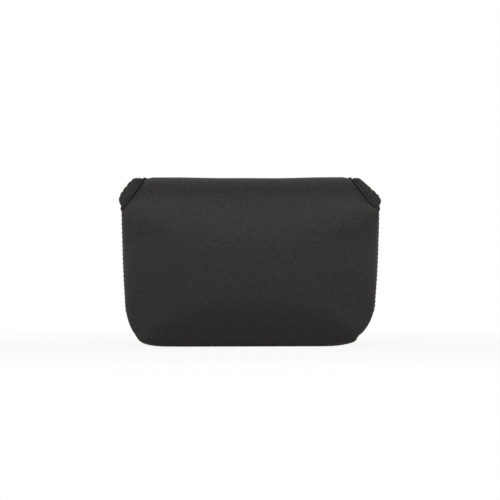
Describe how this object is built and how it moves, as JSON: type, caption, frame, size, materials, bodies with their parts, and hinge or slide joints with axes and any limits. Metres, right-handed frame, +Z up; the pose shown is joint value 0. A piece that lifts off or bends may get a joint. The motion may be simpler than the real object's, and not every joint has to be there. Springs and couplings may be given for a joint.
{
  "type": "lens pouch",
  "caption": "Soft padded neoprene pouch with rounded lower corners, overlocked side seams and a fold-over lip that closes the mouth at the top.",
  "frame": {"origin": "middle of the flat base, on the surface that the pouch stands on", "axes": "+X along the width, -Y out of the plain rear face, +Y out of the front with the lip, +Z up"},
  "size_m": [0.1568, 0.034, 0.1003],
  "materials": {
    "neoprene": "matt knit jersey on foam rubber",
    "thread": "textured polyester thread"
  },
  "bodies": {
    "pouch": {"rear_panel": "neoprene", "front_panel": "neoprene", "base_panel": "neoprene", "mouth_overlock": "thread", "left_side_overlock": "thread", "right_side_overlock": "thread", "left_ear": "neoprene", "right_ear": "neoprene", "left_shoulder_purl": "thread", "right_shoulder_purl": "thread"},
    "fold": {"top_fold": "neoprene", "left_fold_purl": "thread", "right_fold_purl": "thread"},
    "lip": {"lip_panel": "neoprene", "lip_edge_purl": "thread"}
  },
  "joints": [
    {"name": "fold_turn", "type": "hinge", "parent": "pouch", "child": "fold", "pos_m": [0, -0.00487, 0.09717], "axis": [1, 0, 0], "range_deg": [0, 90], "deforming": ["top_fold", "left_fold_purl", "right_fold_purl"]},
    {"name": "lip_turn", "type": "hinge", "parent": "fold", "child": "lip", "pos_m": [0, 0.00487, 0.09717], "axis": [1, 0, 0], "range_deg": [0, 90], "deforming": ["top_fold", "left_fold_purl", "right_fold_purl"]}
  ],
  "couplings": [
    {"joint": "lip_turn", "follows": "fold_turn", "ratio": 1}
  ]
}
